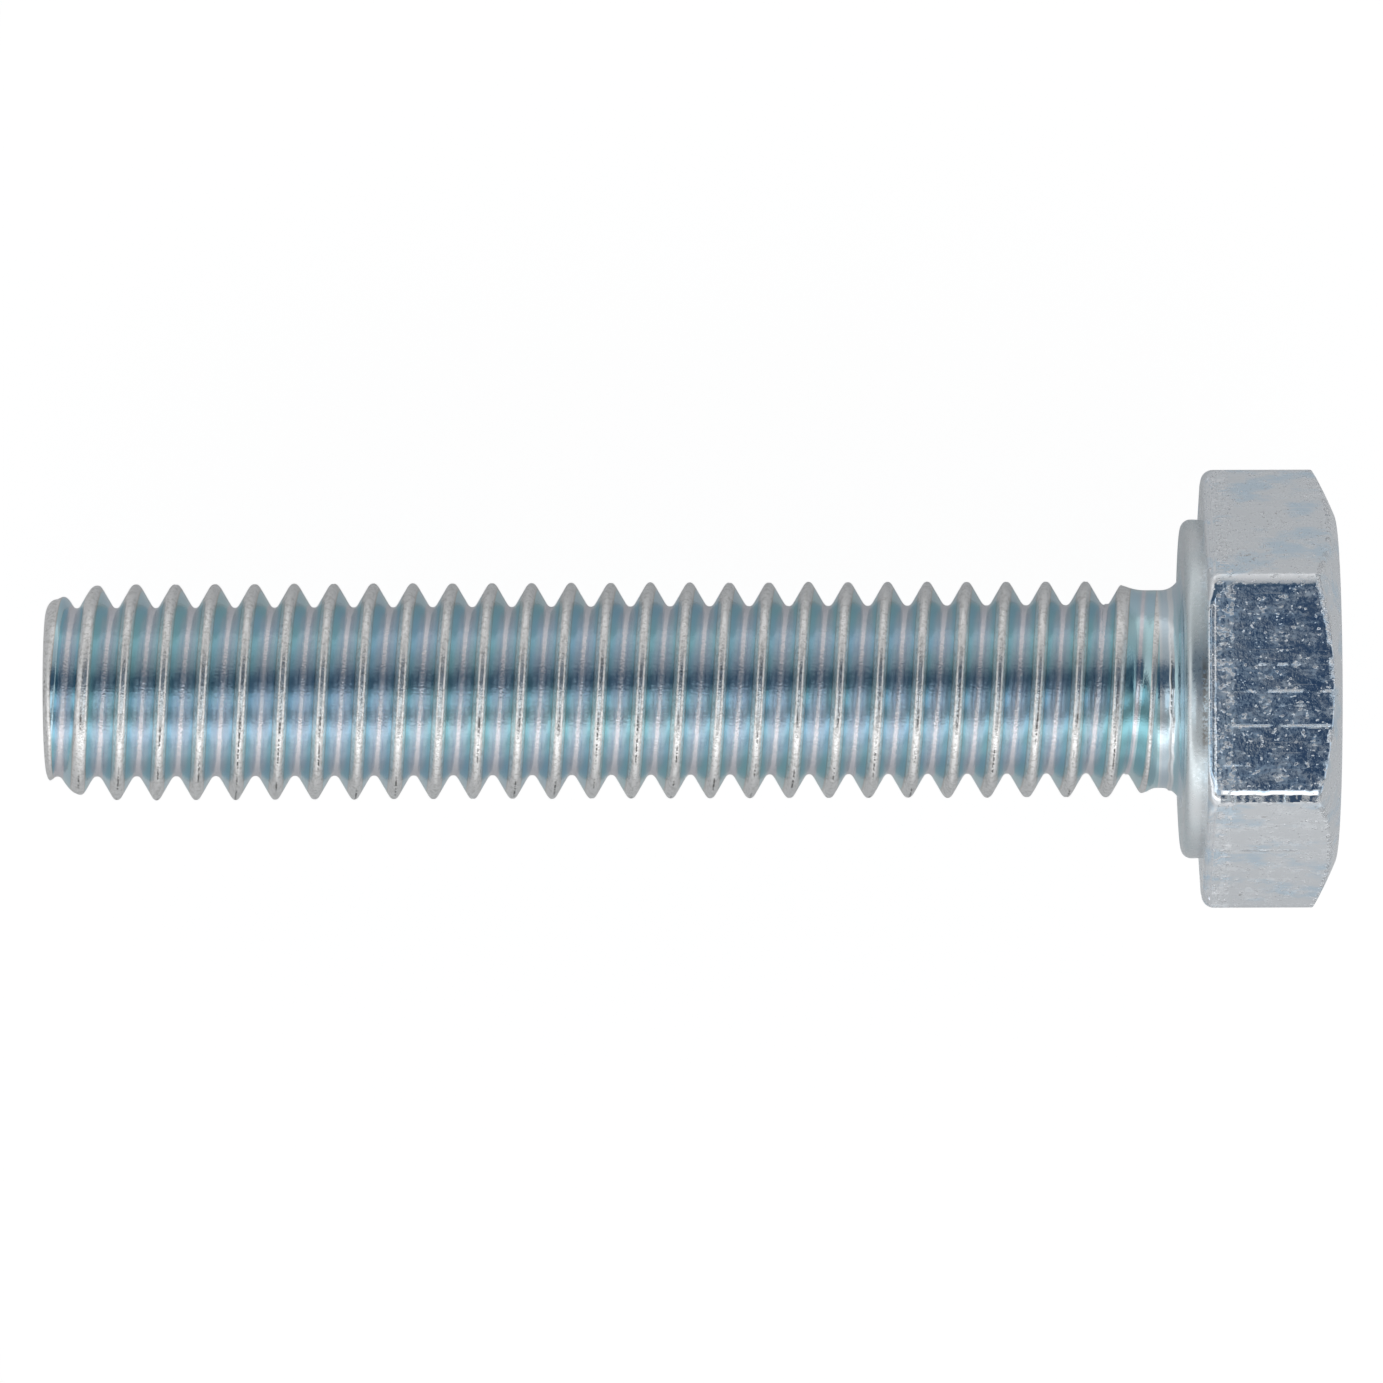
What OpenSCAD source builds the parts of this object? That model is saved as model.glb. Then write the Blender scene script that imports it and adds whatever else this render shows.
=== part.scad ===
// Hexagon head screw with a metric thread up to the head.
// The screw lies along X with its head towards +X, two wrench flats face up and down,
// and the origin is on the axis, in the plane of the bearing face.

/* [Thread] */
// Diameter over the thread crests
thread_major_d = 3.84; // [3.83:0.01:3.98]
// Distance from one crest to the next
thread_pitch = 0.7; // [0.5:0.05:0.7]
// Hand of the thread: -1 is left hand and 1 is right hand
thread_hand = -1; // [-1, 1]
// Place along X of a crest on the +Y side
crest_place = -0.28; // [-0.35:0.01:-0.2]

/* [Shank] */
// Length from the bearing face to the point
bolt_length = 20.08; // [6:0.01:40]
// Diameter of the plain neck under the head
neck_d = 3.5; // [3.4:0.01:3.6]
// Radius of the fillet between the neck and the bearing face
fillet_r = 0.36; // [0.2:0.01:0.4]

/* [Point] */
// Radius of the rounded edge at the end
point_edge_r = 0.2; // [0.1:0.01:0.25]
// Diameter where the rounded edge meets the tapered crests
point_start_d = 3.44; // [3.3:0.01:3.5]
// Taper of the first crests, from the axis
point_angle = 13; // [10:1:20]

/* [Washer face] */
// Diameter of the washer face
washer_face_d = 6; // [5.88:0.01:6.2]
// Height of the washer face
washer_face_h = 0.28; // [0.2:0.01:0.4]
// Radius of the washer face's rim
washer_rim_r = 0.18; // [0.05:0.01:0.18]

/* [Head] */
// Width across flats
head_flats = 6.8; // [6.78:0.01:7]
// Width across the rounded corners
head_corners = 7.75; // [7.66:0.01:7.8]
// Height from the bearing face to the top of the head
head_h = 2.73; // [2.68:0.01:2.92]
// Diameter of the flat circle on top
head_top_d = 6.08; // [5.8:0.01:6.4]
// Mean slope of the chamfer round the top
head_chamfer_angle = 26; // [15:1:30]
// Radius of the corners' lower ends
head_edge_r = 0.2; // [0.1:0.01:0.3]
// Width of the bevel along the flats' lower edges
head_bevel = 0.13; // [0.05:0.01:0.2]

/* [Hidden] */

$fn = 96;

// Metric thread form: sides at 60 degrees to each other, and a groove 17/24 as deep
// as the sharp triangle
flank_angle = 30;
major_r = thread_major_d / 2;
sharp_h = thread_pitch * cos(flank_angle);
root_r = major_r - sharp_h * 17 / 24;
crest_w = thread_pitch / 8;
root_w = thread_pitch - crest_w - 2 * (major_r - root_r) * tan(flank_angle);

// Run-out: the part of a turn over which the last groove fades, the low crest that it leaves,
// the slope from there to the neck, and the length over which the rest levels out
fade_turns = 0.5;
last_crest_r = major_r - thread_pitch / 10;
last_crest_slope = 19;
settle_length = 0.2;

// Where one zone of the screw ends and the next begins
point_pitches = 1.5;
runout_pitches = 2;
plain_neck_h = 0.06;
point_x = -bolt_length + point_pitches * thread_pitch;
runout_x = crest_place - runout_pitches * thread_pitch;
neck_x = -fillet_r - plain_neck_h;

neck_r = neck_d / 2;
core_r = neck_r + fillet_r;

// The head's chamfer is slightly domed: it lies on a sphere through the edge of the flat top
// and the corners' upper ends
corner_r = head_corners / 2;
head_top_r = head_top_d / 2;
corner_h = head_h - (corner_r - head_top_r) * tan(head_chamfer_angle);
dome_place = (head_h ^ 2 + head_top_r ^ 2 - corner_h ^ 2 - corner_r ^ 2) / 2 / (head_h - corner_h);
dome_r = norm([head_top_r, head_h - dome_place]);

// Columns of points round the thread, and stations along one pitch, as parts of a pitch from a crest
columns = 24;
end_steps = 12;
corner_stations = [
    crest_w / 2 / thread_pitch,
    0.5 - root_w / 2 / thread_pitch,
    0.5 + root_w / 2 / thread_pitch,
    1 - crest_w / 2 / thread_pitch
];
even_stations = [for (i = [0:end_steps - 1]) i / end_steps];

function clamp(value, low, high) = min(high, max(low, value));
function smooth(t) = t * t * (3 - 2 * t);
function mix(a, b, t) = a + (b - a) * t;

// Thread radius at x, at a part-turn round from the +Y side
function thread_r(x, turn) =
    let (
        offset = (x - crest_place) / thread_pitch + turn,
        from_crest = abs(offset - round(offset)) * thread_pitch
    )
    clamp(major_r - (from_crest - crest_w / 2) / tan(flank_angle), root_r, major_r);

// Largest radius that the point allows at x
function point_r(x) =
    let (
        depth = x + bolt_length,
        start_r = point_start_d / 2,
        rounding = sqrt(max(0, point_edge_r ^ 2 - (point_edge_r - depth) ^ 2))
    )
    depth < point_edge_r
        ? start_r - point_edge_r + rounding
        : start_r + (depth - point_edge_r) * tan(point_angle);

// Radius just past a last groove: up its side to a low crest, then down to the neck
function shoulder_r(past) =
    let (
        side_r = root_r + max(0, past - root_w / 2) / tan(flank_angle),
        crest_past = root_w / 2 + (last_crest_r - root_r) * tan(flank_angle),
        slope_r = last_crest_r - (past - crest_past) * tan(last_crest_slope)
    )
    min(side_r, max(neck_r, slope_r));

// Radius of a thread whose last groove is at groove_x
function ended_thread_r(x, turn, groove_x) =
    x < groove_x ? thread_r(x, turn) : shoulder_r(x - groove_x);

// Radius near the neck, where the last groove fades out over part of a turn
function runout_r(x, turn) =
    let (
        groove_x = crest_place - thread_pitch * (turn + 0.5),
        before = ended_thread_r(x, turn, groove_x - thread_pitch),
        after = ended_thread_r(x, turn, groove_x),
        faded = mix(before, after, smooth(min(1, turn / fade_turns)))
    )
    mix(neck_r, faded, clamp((neck_x - x) / settle_length, 0, 1));

function surface_r(x, turn) =
    x < point_x ? min(thread_r(x, turn), point_r(x)) :
    x > runout_x ? runout_r(x, turn) :
    thread_r(x, turn);

// A closed length of thread from low_x to high_x. Its stations follow the helix and stop at the
// two end planes, so each column meets the first one again a whole pitch further along, and
// the stations reach a pitch past each end.
module thread_length(low_x, high_x, stations) {
    per_pitch = len(stations);
    pitches = ceil((high_x - low_x) / thread_pitch) + 2;
    count = pitches * per_pitch;
    first_x = crest_place + thread_pitch * floor((low_x - crest_place) / thread_pitch);

    function point(column, row) =
        let (
            turn = column / columns,
            place = floor(row / per_pitch) + stations[row % per_pitch] - turn,
            x = clamp(first_x + thread_pitch * place, low_x, high_x),
            radius = surface_r(x, turn)
        )
        [x, radius * cos(360 * turn), radius * sin(360 * turn)];

    function index(column, row) =
        column < columns
            ? column * count + row
            : clamp(row - per_pitch, 0, count - 1);

    low_centre = columns * count;
    high_centre = low_centre + 1;

    points = [
        for (column = [0:columns - 1]) for (row = [0:count - 1]) point(column, row),
        [low_x, 0, 0],
        [high_x, 0, 0]
    ];
    sides = [
        for (column = [0:columns - 1]) for (row = [0:count - 2])
            let (
                a = index(column, row),
                b = index(column, row + 1),
                c = index(column + 1, row + 1),
                d = index(column + 1, row)
            )
            each [[a, b, c], [a, c, d]]
    ];
    ends = [
        for (column = [0:columns - 1])
            each [
                [index(column, 0), index(column + 1, 0), low_centre],
                [index(column + 1, count - 1), index(column, count - 1), high_centre]
            ]
    ];
    mirror([0, 0, thread_hand > 0 ? 1 : 0])
        polyhedron(points = points, faces = concat(sides, ends));
}

// Turns a shape that stands on Z so that it lies along X
module along_x() {
    rotate([0, 90, 0]) children();
}

// Half section of a disc or ring whose lower outer edge is rounded
module disc_section(inner_r, outer_r, low, high, edge_r) {
    translate([inner_r, low])
        square([outer_r - edge_r - inner_r, high - low]);
    translate([inner_r, low + edge_r])
        square([outer_r - inner_r, high - low - edge_r]);
    translate([outer_r - edge_r, low + edge_r])
        circle(edge_r);
}

// Tapered and rounded end, where the thread starts
module thread_point() {
    color([0.66, 0.70, 0.71])
        thread_length(-bolt_length, point_x, even_stations);
}

// Full thread
module threaded_shank() {
    color([0.55, 0.68, 0.71])
        thread_length(point_x, runout_x, corner_stations);
}

// Last turn of the thread, where it fades into the neck
module thread_runout() {
    color([0.60, 0.72, 0.74])
        thread_length(runout_x, neck_x, even_stations);
}

// Plain neck, its fillet, and the core inside the washer face
module neck() {
    color([0.62, 0.72, 0.74])
        along_x() rotate_extrude() {
            translate([0, neck_x])
                square([neck_r, washer_face_h - neck_x]);
            square([core_r, washer_face_h]);
            difference() {
                translate([neck_r, -fillet_r]) square(fillet_r);
                translate([core_r, -fillet_r]) circle(fillet_r);
            }
        }
}

// Raised bearing ring under the head
module washer_face() {
    color([0.68, 0.74, 0.77])
        along_x() rotate_extrude()
            disc_section(core_r, washer_face_d / 2, 0, washer_face_h, washer_rim_r);
}

// Hexagon with a chamfered top, rounded corners and a bevelled lower edge
module hex_head() {
    color([0.72, 0.74, 0.75])
        along_x() difference() {
            intersection() {
                rotate(30)
                    cylinder(d = head_flats / cos(30), h = head_h, $fn = 6);
                rotate_extrude()
                    disc_section(0, corner_r, washer_face_h, head_h, head_edge_r);
                translate([0, 0, dome_place])
                    sphere(dome_r);
            }
            for (side = [0:5])
                rotate(60 * side) under_edge_cut();
        }
}

// Bar that bevels one flat's lower edge at 45 degrees
module under_edge_cut() {
    bar = 2 * head_bevel;
    translate([head_flats / 2 - head_bevel, 0, washer_face_h])
        rotate([0, 45, 0])
            translate([0, -head_flats / 2, -bar])
                cube([bar, head_flats, bar]);
}

thread_point();
threaded_shank();
thread_runout();
neck();
washer_face();
hex_head();
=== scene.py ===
import math

import bmesh
import bpy
import numpy as np
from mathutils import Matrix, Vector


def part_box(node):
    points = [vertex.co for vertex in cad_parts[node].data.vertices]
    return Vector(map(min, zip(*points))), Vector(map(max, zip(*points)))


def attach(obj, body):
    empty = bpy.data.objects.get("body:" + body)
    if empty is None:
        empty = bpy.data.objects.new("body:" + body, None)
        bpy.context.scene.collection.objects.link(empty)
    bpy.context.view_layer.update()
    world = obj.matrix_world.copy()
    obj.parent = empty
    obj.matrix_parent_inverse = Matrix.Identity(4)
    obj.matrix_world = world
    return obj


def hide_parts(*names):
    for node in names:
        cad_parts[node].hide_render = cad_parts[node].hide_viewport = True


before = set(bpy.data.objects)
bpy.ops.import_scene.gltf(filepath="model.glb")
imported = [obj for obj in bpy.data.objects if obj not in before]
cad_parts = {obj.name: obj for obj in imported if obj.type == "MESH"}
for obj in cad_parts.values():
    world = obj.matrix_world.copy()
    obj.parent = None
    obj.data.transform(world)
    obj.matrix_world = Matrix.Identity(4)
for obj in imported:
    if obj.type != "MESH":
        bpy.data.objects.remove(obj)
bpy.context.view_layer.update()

# ---------------------------------------------------------------- dimensions, in metres
MM = 0.001
TAU = 2 * math.pi

head_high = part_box("hex_head")[1]
washer_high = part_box("washer_face")[1]
neck_low, neck_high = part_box("neck")
point_low, point_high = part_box("thread_point")
shank_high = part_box("threaded_shank")[1]

# Places along X, from the point's end to the head's top; X is 0 at the bearing face
TIP_X = point_low[0]
POINT_X = point_high[0]
RUNOUT_X = shank_high[0]
NECK_X = neck_low[0]
WASHER_H = washer_high[0]
HEAD_TOP_X = head_high[0]

WASHER_R = washer_high[1]
CORE_R = neck_high[1]
CORNER_R = head_high[1]
HALF_FLATS = head_high[2]
MAJOR_R = shank_high[1]

# A 60 degree thread: its crests are an eighth of the pitch wide, and its roots are rounded
PITCH = 0.7 * MM
FLANK_ANGLE = math.radians(30)
CREST_PLACE = -0.28 * MM
GROOVE_DEPTH = PITCH * math.cos(FLANK_ANGLE) * 17 / 24
ROOT_R = MAJOR_R - GROOVE_DEPTH
CREST_W = PITCH / 8
FLANK_SLOPE = 1 / math.tan(FLANK_ANGLE)
ROOT_W = PITCH - CREST_W - 2 * GROOVE_DEPTH / FLANK_SLOPE

POINT_FLAT_R = 1.36 * MM
POINT_EDGE_L = 0.2 * MM
POINT_EDGE_H = 0.29 * MM
POINT_SLOPE = math.tan(math.radians(24))

# The last crest is lower than the others, and its groove fades out over half a turn
LAST_CREST_R = MAJOR_R - PITCH / 10
LAST_CREST_SLOPE = math.tan(math.radians(19))
LAST_CREST_PAST = ROOT_W / 2 + (LAST_CREST_R - ROOT_R) / FLANK_SLOPE
FADE_TURNS = 0.5
SETTLE = 0.2 * MM

NECK_R = 1.75 * MM
FILLET_R = CORE_R - NECK_R
RIM_R = 0.18 * MM
RIM_DRAFT = 0.01 * MM

# The hexagon: the angle from a flat's middle to its corner, and the radius of its rounded corners
HALF_SIDE = math.radians(30)
CORNER_ROUNDING = (CORNER_R - HALF_FLATS / math.cos(HALF_SIDE)) / (1 - 1 / math.cos(HALF_SIDE))
HEAD_TOP_R = 3.04 * MM
CORNER_END_X = HEAD_TOP_X - (CORNER_R - HEAD_TOP_R) * math.tan(math.radians(26))
DOME_X = (HEAD_TOP_X**2 + HEAD_TOP_R**2 - CORNER_END_X**2 - CORNER_R**2) / 2 / (HEAD_TOP_X - CORNER_END_X)
DOME_R = math.hypot(HEAD_TOP_R, HEAD_TOP_X - DOME_X)
# Radius of the under-edge, at a corner and at a flat's middle
HEAD_EDGE_R = 0.22 * MM
FLAT_EDGE_R = 0.06 * MM

rng = np.random.default_rng(11)


# ---------------------------------------------------------------- small maths
def soft_min(a, b, width):
    """The smaller of two, with the corner between them rounded over width."""
    h = np.maximum(width - np.abs(a - b), 0) / width
    return np.minimum(a, b) - h * h * width / 4


def soft_max(a, b, width):
    """The larger of two, rounded in the same way."""
    return -soft_min(-a, -b, width)


def smooth(t):
    """An eased step from 0 to 1, as t goes from 0 to 1."""
    t = np.clip(t, 0, 1)
    return t * t * (3 - 2 * t)


def mix(a, b, t):
    return a + (b - a) * t


def band(value, middle, half, fade):
    """1 within half of the middle, falling to 0 over fade."""
    return smooth((half + fade - np.abs(value - middle)) / fade)


def ripple(size):
    """A smooth random function of one variable, which changes about once a unit."""
    table = rng.uniform(-1, 1, size)

    def value(s):
        i = np.floor(s).astype(int)
        return mix(table[i % size], table[(i + 1) % size], smooth(s - i))

    return value


# ---------------------------------------------------------------- thread surface
CREST_ROUNDING = 0.07 * MM
ROOT_ROUNDING = 0.08 * MM
POINT_ROUNDING = 0.16 * MM
SHOULDER_ROUNDING = 0.06 * MM
NECK_ROUNDING = 0.05 * MM
# Wear of the crests: its mean depth, and how many waves or chips there are in a turn
WAVE_DEPTH, WAVES = 0.006 * MM, 9
CHIP_DEPTH, CHIPS = 0.003 * MM, 70
# The fold that rolling leaves along the crests, and how often in a turn it breaks and wanders
FOLD_DEPTH, FOLD_W, FOLD_BREAKS = 0.010 * MM, 0.013 * MM, 26
FOLD_WANDER, FOLD_BENDS = 0.012 * MM, 11
# Added to each count of turns, so that none is below zero
TURNS_BEFORE = 200

crest_height = ripple(997)
crest_chips = ripple(4093)
seam_depth = ripple(2039)
seam_wander = ripple(1021)


def turns_along(x, turn):
    """Which crest is nearest, counted in turns along the helix, and how far off it lies."""
    offset = (x - CREST_PLACE) / PITCH + turn
    crest = np.round(offset)
    return crest - turn + TURNS_BEFORE, (offset - crest) * PITCH


def thread_r(x, turn):
    """Radius of the full thread: worn crests with a fold, straight sides and rounded roots."""
    along, aside = turns_along(x, turn)
    flank = MAJOR_R - (np.abs(aside) - CREST_W / 2) * FLANK_SLOPE
    waves = WAVE_DEPTH * (1 + crest_height(along * WAVES))
    chips = CHIP_DEPTH * (1 + crest_chips(along * CHIPS))
    crest = soft_min(flank, MAJOR_R - waves - chips, CREST_ROUNDING)
    r = soft_max(crest, ROOT_R + 0 * x, ROOT_ROUNDING)
    beside = aside - FOLD_WANDER * seam_wander(along * FOLD_BENDS)
    depth = FOLD_DEPTH * smooth(0.2 + seam_depth(along * FOLD_BREAKS))
    return r - depth * np.exp(-((beside / FOLD_W) ** 2))


def point_r(x):
    """Largest radius of the point: a rounded edge round its flat end, then a taper."""
    depth = x - TIP_X
    rounding = np.sqrt(np.clip(1 - (1 - depth / POINT_EDGE_L) ** 2, 0, 1))
    rounding = np.where(depth < POINT_EDGE_L, rounding, 1)
    return POINT_FLAT_R + POINT_EDGE_H * rounding + np.maximum(0, depth - POINT_EDGE_L) * POINT_SLOPE


def shoulder_r(past):
    """Radius past a last groove: up its side to a low crest, then down to the neck."""
    side = ROOT_R + np.maximum(0, past - ROOT_W / 2) * FLANK_SLOPE
    slope = LAST_CREST_R - (past - LAST_CREST_PAST) * LAST_CREST_SLOPE
    return soft_min(side, soft_max(slope, NECK_R + 0 * slope, NECK_ROUNDING), SHOULDER_ROUNDING)


def ended_thread_r(x, turn, groove_x):
    """Radius of a thread whose last groove is at groove_x."""
    shoulder = soft_max(shoulder_r(x - groove_x), ROOT_R + 0 * x, ROOT_ROUNDING)
    return np.where(x < groove_x, thread_r(x, turn), shoulder)


def runout_r(x, turn):
    """Radius of the last turn, where one groove fades out and the one before it takes over."""
    groove_x = CREST_PLACE - PITCH * (turn + 0.5)
    before = ended_thread_r(x, turn, groove_x - PITCH)
    after = ended_thread_r(x, turn, groove_x)
    faded = mix(before, after, smooth(turn / FADE_TURNS))
    return mix(NECK_R, faded, smooth((NECK_X - x) / SETTLE))


def surface_r(x, turn):
    """Radius anywhere from the point's end to the neck."""
    r = np.where(x > RUNOUT_X, runout_r(x, turn), thread_r(x, turn))
    return np.where(x < POINT_X, soft_min(r, point_r(x), POINT_ROUNDING), r)


# ---------------------------------------------------------------- meshes
# Points closer than this are one point
SAME_PLACE = 1e-8
# Edges with a sharper bend than this are shaded as edges, on the head and elsewhere
HEAD_SHARP, SHARP = 40, 50
# Columns of points round the axis
THREAD_COLUMNS = 168
TURNED_COLUMNS = 240
# Rows of points in one pitch, and how far they are drawn towards the crest
PITCH_ROWS = 44
CREST_PULL = 0.15
# Rings on the flat face where one zone meets the next, as parts of its radius
CUT_RINGS = (0.6, 0.3)
# The point's dished end: part of its radius, and depth in mm
DISH = ((0.97, 0.004), (0.9, 0.02), (0.75, 0.035), (0.5, 0.045), (0.25, 0.05))


def mesh_object(name, points, faces, sharp_degrees):
    """A closed object from points and faces, with coincident points joined and smooth shading."""
    mesh = bpy.data.meshes.new(name)
    mesh.from_pydata(points.tolist(), [], faces)
    work = bmesh.new()
    work.from_mesh(mesh)
    bmesh.ops.remove_doubles(work, verts=work.verts, dist=SAME_PLACE)
    bmesh.ops.dissolve_degenerate(work, edges=work.edges, dist=SAME_PLACE)
    bmesh.ops.recalc_face_normals(work, faces=work.faces)
    for face in work.faces:
        face.smooth = True
    work.to_mesh(mesh)
    work.free()
    mesh.set_sharp_from_angle(angle=math.radians(sharp_degrees))
    piece = bpy.data.objects.new(name, mesh)
    bpy.context.scene.collection.objects.link(piece)
    return piece


def paint(piece, **zones):
    """Stores named amounts, one for each point, for the material to read."""
    for name, values in zones.items():
        layer = piece.data.attributes.new(name, "FLOAT", "POINT")
        layer.data.foreach_set("value", np.clip(values, 0, 1).astype(np.float32))


def coordinates(piece):
    """X, Y and Z of a piece's points."""
    places = np.empty(len(piece.data.vertices) * 3)
    piece.data.vertices.foreach_get("co", places)
    return places.reshape(-1, 3).T


def spots(piece):
    """Places of a piece's points: along X, turns round the axis from +Y, and radius."""
    x, y, z = coordinates(piece)
    return x, (np.arctan2(z, y) / TAU) % 1, np.hypot(y, z)


def ring_faces(columns, rows, first=0):
    """Quads between rows of points that go round in columns."""
    faces = []
    for row in range(rows - 1):
        low = first + row * columns
        high = low + columns
        for column in range(columns):
            after = (column + 1) % columns
            faces.append((low + column, low + after, high + after, high + column))
    return faces


def fan_faces(start, columns, centre):
    """Triangles from a ring of points to its centre."""
    return [(start + c, start + (c + 1) % columns, centre) for c in range(columns)]


def stations_along_pitch():
    """Places along one pitch, closer together on the crest than in the root."""
    even = np.arange(PITCH_ROWS) / PITCH_ROWS
    return (even - CREST_PULL * np.sin(TAU * even) / math.pi) % 1


def thread_piece(name, low_x, high_x, low_rings, high_rings):
    """A closed length of thread, with rings on its ends given as (part of the radius, place along X).

    Its columns follow the helix. What lies past an end is pressed onto that end.
    """
    stations = stations_along_pitch()
    first = math.floor((low_x - CREST_PLACE) / PITCH) - 1
    pitches = math.ceil((high_x - low_x) / PITCH) + 3
    rows = pitches * PITCH_ROWS
    row = np.arange(rows)
    place = first + row // PITCH_ROWS + stations[row % PITCH_ROWS]
    turn = np.arange(THREAD_COLUMNS) / THREAD_COLUMNS
    x = np.clip(CREST_PLACE + PITCH * (place[None, :] - turn[:, None]), low_x, high_x)
    turn = np.broadcast_to(turn[:, None], x.shape)
    r = surface_r(x, turn)
    points = np.stack([x, r * np.cos(TAU * turn), r * np.sin(TAU * turn)], axis=-1).reshape(-1, 3)

    def index(column, at):
        """A point's number; past the last column, the first one goes on, a pitch lower."""
        if column < THREAD_COLUMNS:
            return column * rows + at
        return min(max(at - PITCH_ROWS, 0), rows - 1)

    faces = []
    for column in range(THREAD_COLUMNS):
        after = column + 1
        for at in range(rows - 1):
            faces.append((index(column, at), index(after, at), index(after, at + 1), index(column, at + 1)))
    for end_row, end_x, rings in ((0, low_x, low_rings), (rows - 1, high_x, high_rings)):
        edge = points[[column * rows + end_row for column in range(THREAD_COLUMNS)]]
        start = len(points)
        for part, ring_x in ((1.0, end_x), *rings):
            points = np.vstack([points, edge * [0, part, part] + [ring_x, 0, 0]])
        faces += ring_faces(THREAD_COLUMNS, 1 + len(rings), start)
        last_ring = start + len(rings) * THREAD_COLUMNS
        points = np.vstack([points, [[rings[-1][1], 0, 0]]])
        faces += fan_faces(last_ring, THREAD_COLUMNS, len(points) - 1)
    return mesh_object(name, points, faces, SHARP)


def make_thread():
    """The point, shank and run-out, which meet on flat faces."""

    def cut_rings(x):
        return tuple((part, x) for part in CUT_RINGS)

    tip_rings = [(part, TIP_X + depth * MM) for part, depth in DISH]
    point = thread_piece("point_skin", TIP_X, POINT_X, tip_rings, cut_rings(POINT_X))
    shank = thread_piece("shank_skin", POINT_X, RUNOUT_X, cut_rings(POINT_X), cut_rings(RUNOUT_X))
    runout = thread_piece("runout_skin", RUNOUT_X, NECK_X, cut_rings(RUNOUT_X), cut_rings(NECK_X))
    return point, shank, runout


# Half width of the bare crests, whose middle lies a little towards the point
BARE_HALF, BARE_SHIFT = 0.085 * MM, -0.01 * MM
# The shade painted along the fold, which breaks and wanders a little more than the groove under it
SEAM_HALF, SEAM_FADE, SEAM_BREAKS = 0.006 * MM, 0.016 * MM, 31
SEAM_WANDER = 0.014 * MM
# Painted roots and margins are narrower from here to the head
NARROW_FROM, NARROW_OVER = -1.2 * MM, 0.3 * MM
# How bare the end of the point is
END_BARE = 0.7


def paint_thread(piece):
    """Marks bare crests and ends, roots and the margins beside them, the sides where the film's pink slant
    sheen is painted, and the shade painted in the crests' fold.
    """
    x, turn, r = spots(piece)
    along, aside = turns_along(x, turn)
    y = r * np.cos(TAU * turn)
    outside = r > ROOT_R - 0.05 * MM
    past = x - (CREST_PLACE - PITCH * (turn + 0.5))
    last = past > ROOT_W
    crest = band(aside, BARE_SHIFT, BARE_HALF, BARE_HALF)
    bare = np.where(last, band(past, LAST_CREST_PAST, 0.035 * MM, 0.03 * MM), crest)
    bare = np.maximum(bare, band(x, TIP_X, 0.12 * MM, 0.05 * MM))
    end = END_BARE * (x < TIP_X + 0.06 * MM) * ~outside
    near_head = smooth((x - NARROW_FROM) / NARROW_OVER)
    narrow = 1 - 0.5 * near_head
    groove = np.abs(aside)
    root = band(groove, PITCH / 2, 0.05 * MM * narrow, 0.045 * MM * narrow) * ~last * outside
    margin = band(groove, PITCH / 2, 0.065 * MM, 0.03 * MM) * ~last * outside * (1 - 0.85 * near_head)
    # Painted shade in the crests' fold: none on the upper side, part strength in the middle, and full on
    # the lower side, where the bright strips are reflected
    seam = band(aside, SEAM_WANDER * seam_wander(along * FOLD_BENDS), SEAM_HALF, SEAM_FADE)
    seam *= smooth(seam_depth(along * SEAM_BREAKS) * 1.6 + 0.35) * ~last
    seam *= smooth((0.75 * MM - y) / (0.25 * MM)) * mix(0.55, 1, smooth((-0.35 * MM - y) / (0.2 * MM)))
    # Painted sheen: the film's pinker colour seen at a slant, put on both sides more than 1.05 mm from the
    # axis along Y
    warm = smooth((np.abs(y) - 1.05 * MM) / (0.35 * MM))
    bare = np.maximum(bare * outside, end)
    paint(piece, bare=bare, root=root, margin=margin, seam=seam * outside, warm=warm)


def turned_piece(name, profile, ring=False):
    """A body turned about X from (radius, place along X) pairs; ring joins the last to the first."""
    columns = TURNED_COLUMNS
    turn = np.arange(columns) / columns
    points = []
    for r, x in profile:
        y, z = r * np.cos(TAU * turn), r * np.sin(TAU * turn)
        points.append(np.stack([np.full(columns, x), y, z], axis=-1))
    points = np.vstack(points)
    faces = ring_faces(columns, len(profile))
    last = (len(profile) - 1) * columns
    if ring:
        for c in range(columns):
            after = (c + 1) % columns
            faces.append((last + c, last + after, after, c))
    else:
        low = len(points)
        points = np.vstack([points, [[profile[0][1], 0, 0], [profile[-1][1], 0, 0]]])
        faces += fan_faces(0, columns, low)
        faces += fan_faces(last, columns, low + 1)
    return mesh_object(name, points, faces, SHARP)


def arc(centre, radius, start, end, count):
    """Points of a circular arc in the (radius, X) plane, angles in degrees."""
    steps = np.radians(np.linspace(start, end, count))
    return [(centre[0] + radius * math.cos(a), centre[1] + radius * math.sin(a)) for a in steps]


# The ridge in the fillet: its place, height and width, and its bends round the axis
RIDGE_X, RIDGE_H, RIDGE_W = -0.21 * MM, 0.020 * MM, 0.028 * MM
RIDGE_WANDER, RIDGE_BENDS = 0.012 * MM, 60
# Where round the axis the ridge has its middle, its half length and how it fades, in turns
RIDGE_TURN, RIDGE_HALF, RIDGE_FADE = 0.42, 0.3, 0.12

ridge_wander = ripple(RIDGE_BENDS)


def ridge_place(turn):
    """How far along X the ridge wanders."""
    return RIDGE_WANDER * ridge_wander(turn * RIDGE_BENDS)


def ridge_height(x, turn):
    """A low ridge in the fillet, which dies away round the +Y side."""
    away = np.abs((turn - RIDGE_TURN + 0.5) % 1 - 0.5)
    strength = smooth((RIDGE_HALF - away) / RIDGE_FADE)
    return RIDGE_H * np.exp(-(((x - RIDGE_X - ridge_place(turn)) / RIDGE_W) ** 2)) * strength


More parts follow.
